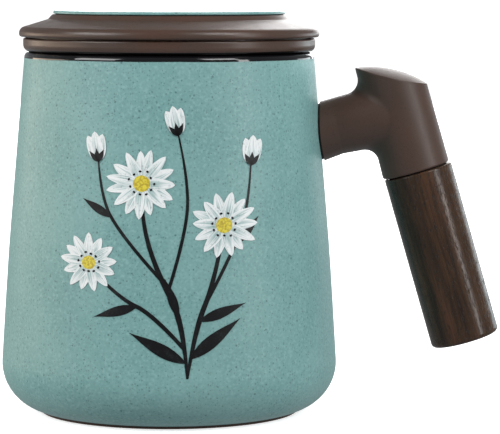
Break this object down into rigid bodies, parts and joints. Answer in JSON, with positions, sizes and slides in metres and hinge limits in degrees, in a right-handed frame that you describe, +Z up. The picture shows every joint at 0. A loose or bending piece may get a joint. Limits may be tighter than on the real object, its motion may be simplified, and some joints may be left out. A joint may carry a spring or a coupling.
{
  "type": "tea cup with infuser",
  "caption": "Tall lidded stoneware tea cup, wider at the heel, with a lift-out pierced infuser hung on its rim and a leaning wooden grip carried by a stoneware side elbow.",
  "frame": {"origin": "centre of the foot ring, on the surface that the cup stands on", "axes": "+Z up along the cup's axis, +X from the cup's axis towards the handle, +Y to the left of the handle seen from the handle's side"},
  "size_m": [0.1374, 0.0926, 0.1106],
  "materials": {
    "teal_glaze": "satin teal glaze with fine dark specks; glossy black at the cup's rim",
    "brown_stoneware": "smooth unglazed dark brown stoneware with a soft sheen",
    "clay_slip": "matte dark slip",
    "dark_wood": "oiled dark hardwood",
    "steel": "plain rod, hidden",
    "dark_epoxy": "matte dark epoxy, seen only as thin seam lines",
    "white_enamel": "thin brushed white enamel of the painted flowers, with streaks of teal",
    "ink_enamel": "thin black enamel of the painted stems and leaves",
    "yellow_enamel": "thin yellow enamel of the painted flower centres"
  },
  "bodies": {
    "cup": {"cup_body": "teal_glaze", "elbow_lute": "clay_slip", "handle_elbow": "brown_stoneware", "stud_bond": "dark_epoxy", "handle_stud": "steel", "handle_grip": "dark_wood"},
    "infuser": {"infuser": "brown_stoneware"},
    "lid": {"lid": "brown_stoneware", "plate_bond": "dark_epoxy", "lid_plate": "teal_glaze"}
  },
  "joints": [
    {"name": "infuser_lift", "type": "slide", "parent": "cup", "child": "infuser", "axis": [0, 0, 1], "range_m": [0, 0.075]},
    {"name": "lid_lift", "type": "slide", "parent": "infuser", "child": "lid", "axis": [0, 0, 1], "range_m": [0, 0.05]}
  ]
}
